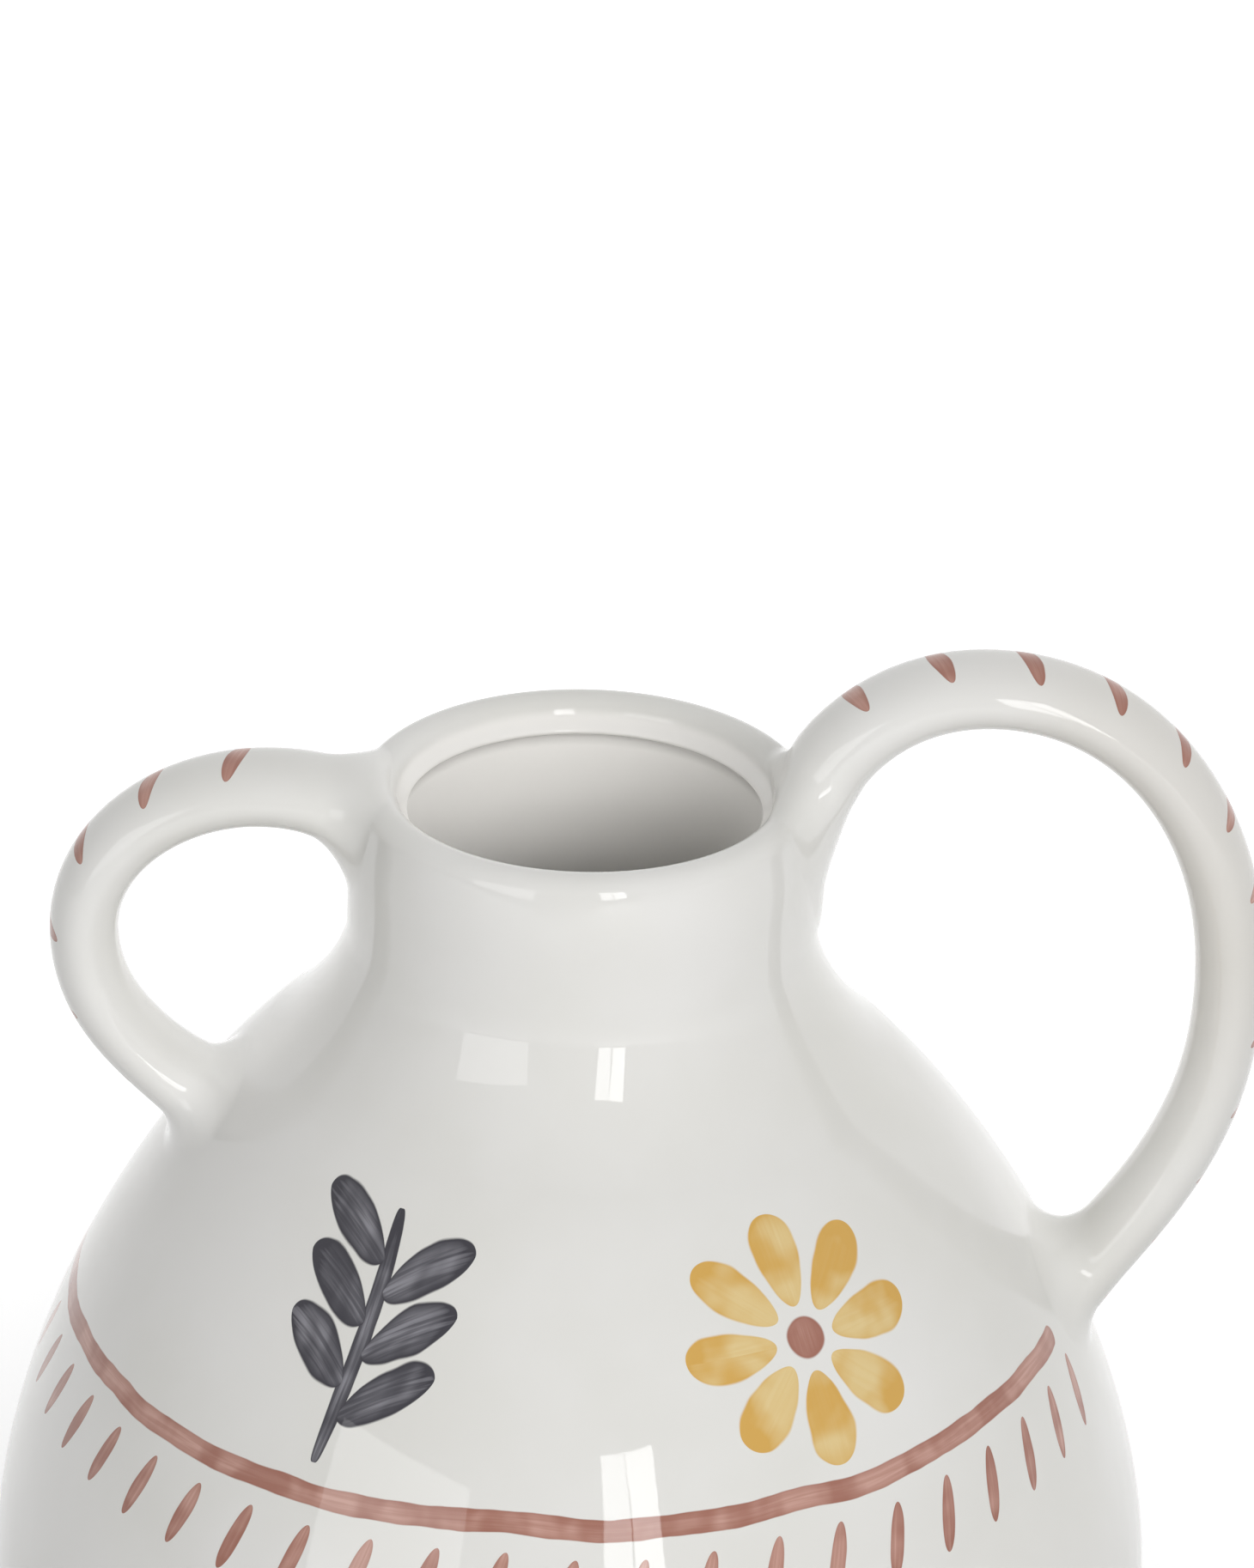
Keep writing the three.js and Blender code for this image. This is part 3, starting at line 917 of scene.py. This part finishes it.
# %% Clay
bare_clay = bpy.data.materials.new("bare_clay_matt")
bare_clay.use_nodes = True
tree = bare_clay.node_tree
shader = tree.nodes["Principled BSDF"]
place = node(tree, "TexCoord").outputs["Object"]
patches = node(tree, "TexNoise", Vector=place, Scale=60.0, Detail=4.0).outputs[0]
sand = node(tree, "TexNoise", Vector=place, Scale=1300.0, Detail=2.0).outputs[0]
clay_tone = blend(tree, patches, srgb(196, 178, 152), srgb(214, 200, 178))
specks = calc(tree, "MULTIPLY", step(tree, sand, 0.6, 0.75), 0.4)
clay_tone = blend(tree, specks, clay_tone, srgb(120, 98, 78))
fill(tree, shader.inputs["Base Color"], clay_tone)
shader.inputs["Roughness"].default_value = 0.85
grain_height = 0.05 * MM
grit = calc(tree, "MULTIPLY", sand, grain_height)
fill(tree, shader.inputs["Normal"], node(tree, "Bump", Height=grit, Distance=1.0).outputs[0])
turned_foot.data.materials.append(bare_clay)
print("clay on", turned_foot.name)

# %% [markdown]
# ## Studio
#
# The photograph shows the vase on white, in soft light. Two tall panes stand for a window to the right of
# the camera, and the glossy glaze shows them as bright strips. A dimmer panel stands to the left.
#
# Three softboxes fill in the light. They are hidden from reflections, so the glaze shows the window and the
# panel alone. The sky lights the vase only from behind, and the camera and the glaze see it as plain white.
#
# The floor glows a little for the camera and for reflections, and less close to the vase, so it is nearly as
# white as the background and still takes the shadow. From below it is clear, so that the foot shows.


# %% Floor and world
def add_object(name, data):
    """Link an object that is not part of the vase."""
    made = bpy.data.objects.new(name, data)
    bpy.context.collection.objects.link(made)
    return made


def seen_rays(tree):
    """1 for rays from the camera, from reflections and through glass, and 0 for those that carry light."""
    rays = node(tree, "LightPath").outputs
    seen = calc(tree, "ADD", rays["Is Camera Ray"], rays["Is Glossy Ray"])
    return calc(tree, "ADD", seen, rays["Is Transmission Ray"], clamp=True)


floor_radius = 12
floor_lit = (0.3, 0.3, 0.3, 1)
floor_seen = (0.7, 0.7, 0.7, 1)
glow_near = 0.42
glow_gain = 0.3
glow_reach = 0.1, 0.4
bm = bmesh.new()
bmesh.ops.create_circle(bm, cap_ends=True, segments=64, radius=floor_radius)
floor_mesh = bpy.data.meshes.new("floor")
bm.to_mesh(floor_mesh)
bm.free()
floor = add_object("floor", floor_mesh)

white_floor = bpy.data.materials.new("white_floor")
white_floor.use_nodes = True
tree = white_floor.node_tree
shader = tree.nodes["Principled BSDF"]
shader.inputs["Roughness"].default_value = 0.9
shader.inputs["Specular IOR Level"].default_value = 0.0
seen = seen_rays(tree)
shader.inputs["Emission Color"].default_value = (1, 1, 1, 1)
away = node(tree, "VectorMath", {"operation": "LENGTH"})
fill(tree, away.inputs[0], node(tree, "TexCoord").outputs["Object"])
far = step(tree, away.outputs["Value"], *glow_reach)
glow_level = calc(tree, "MULTIPLY_ADD", far, glow_gain, glow_near)
fill(tree, shader.inputs["Base Color"], blend(tree, seen, floor_lit, floor_seen))
fill(tree, shader.inputs["Emission Strength"], calc(tree, "MULTIPLY", seen, glow_level))
from_below = node(tree, "NewGeometry").outputs["Backfacing"]
fill(tree, shader.inputs["Alpha"], calc(tree, "SUBTRACT", 1.0, from_below))
floor.data.materials.append(white_floor)

sky_lean = (0.0, 1.86, 0.0)
world = bpy.data.worlds.new("studio")
bpy.context.scene.world = world
world.use_nodes = True
tree = world.node_tree
glow = tree.nodes["Background"]
glow.inputs["Color"].default_value = (1, 1, 1, 1)
way = node(tree, "TexCoord").outputs["Generated"]
lean = node(tree, "VectorMath", {"operation": "DOT_PRODUCT"})
fill(tree, lean.inputs[0], way)
fill(tree, lean.inputs[1], sky_lean)
sky = calc(tree, "MAXIMUM", lean.outputs["Value"], 0.0)
strength = node(tree, "Mix")
fill(tree, strength.inputs[0], seen_rays(tree))
fill(tree, strength.inputs[2], sky)
fill(tree, strength.inputs[3], 1.0)
fill(tree, glow.inputs["Strength"], strength.outputs[0])
print("floor facing", tuple(floor_mesh.polygons[0].normal))

# %% Windows
lamp_target = Vector((axis_x, 0, 190 * MM))


def panel(name, azimuth, elevation, width, height, radiance, distance=2.0):
    """A flat lamp that faces the vase; radiance is what a mirror would show."""
    lamp = bpy.data.lights.new(name, "AREA")
    lamp.shape = "RECTANGLE"
    lamp.size = width
    lamp.size_y = height
    lamp.energy = radiance * math.pi * width * height
    turn = math.radians(azimuth)
    lift = math.radians(elevation)
    away = Vector((math.sin(turn) * math.cos(lift), -math.cos(turn) * math.cos(lift), math.sin(lift)))
    made = add_object(name, lamp)
    made.location = lamp_target + away * distance
    made.rotation_euler = away.to_track_quat("Z", "Y").to_euler()
    print(name, "energy", round(lamp.energy, 2))
    return made


panel("left_pane", azimuth=10.8, elevation=12, width=0.195, height=1.14, radiance=5.2)
panel("right_pane", azimuth=17.1, elevation=12, width=0.20, height=1.14, radiance=6.0)
panel("soft_panel", azimuth=-38, elevation=10, width=1.1, height=1.0, radiance=1.7)
softboxes = [panel("front_softbox", azimuth=20, elevation=28, width=1.6, height=0.9, radiance=3.8),
             panel("right_softbox", azimuth=55, elevation=30, width=2.4, height=1.6, radiance=0.85),
             panel("left_softbox", azimuth=-65, elevation=10, width=1.4, height=1.0, radiance=1.3)]
for softbox in softboxes:
    softbox.visible_glossy = False

# %% [markdown]
# ## Camera
#
# A long lens from well away, 26 degrees above the horizon, so that the mouth shows as a narrow ellipse and
# both handles keep their shape.

# %% Camera
camera_distance = 1300 * MM
camera_rise = math.radians(26)
target = Vector((1.26 * MM, 0, 238.97 * MM))
view = bpy.data.cameras.new("camera")
view.lens = 179.13
view.sensor_fit = "VERTICAL"
view.sensor_height = 36
view.clip_start = 0.05
camera = bpy.data.objects.new("camera", view)
bpy.context.collection.objects.link(camera)
toward = Vector((0, -math.cos(camera_rise), math.sin(camera_rise)))
camera.location = target + toward * camera_distance
camera.rotation_euler = toward.to_track_quat("Z", "Y").to_euler()
bpy.context.scene.camera = camera
bpy.context.scene.view_settings.view_transform = "Standard"
print("camera at", tuple(camera.location))
